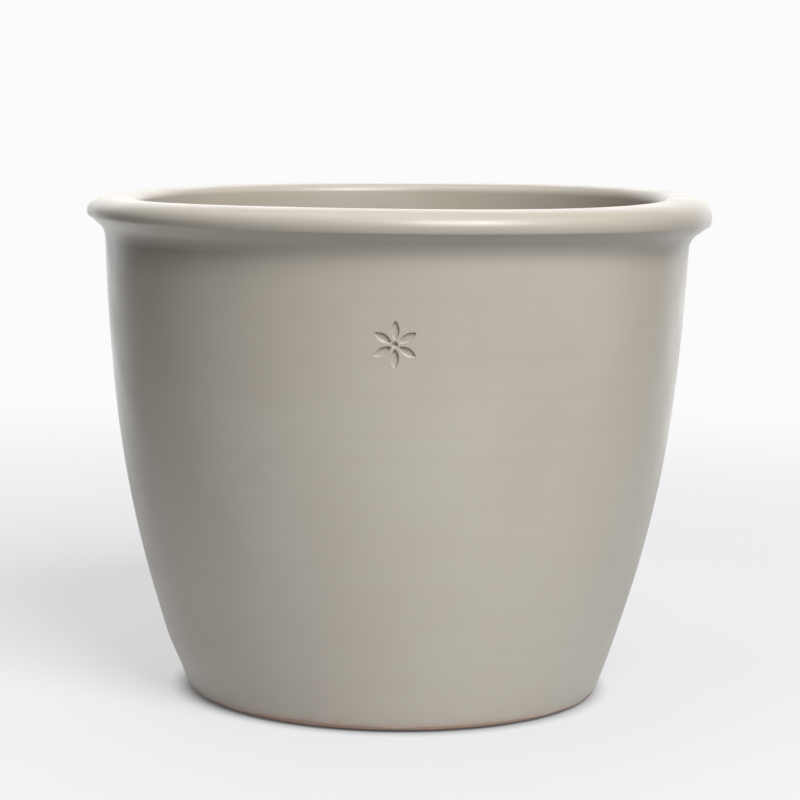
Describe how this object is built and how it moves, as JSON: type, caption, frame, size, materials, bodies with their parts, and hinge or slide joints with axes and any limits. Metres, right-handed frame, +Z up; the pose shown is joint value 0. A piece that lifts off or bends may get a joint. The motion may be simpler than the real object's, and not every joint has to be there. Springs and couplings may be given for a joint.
{
  "type": "plant pot",
  "caption": "Large round terracotta plant pot with a thick rolled rim, a wall that tapers to a flat foot, a drainage hole and a smooth grey coat, for a plant and its soil.",
  "frame": {"origin": "centre of the foot's underside, on the surface that the pot stands on", "axes": "+Z up along the axis that the pot was thrown about; the stamp on the wall faces -Y; +X to the right of the stamp"},
  "size_m": [0.4, 0.4, 0.3219],
  "materials": {
    "terracotta": "matte",
    "grey_coat": "satin"
  },
  "bodies": {
    "root": {"floor_slab": "terracotta", "wall": "terracotta", "corner_coil": "terracotta", "rim_roll": "terracotta", "grey_coat": "grey_coat"}
  },
  "joints": []
}
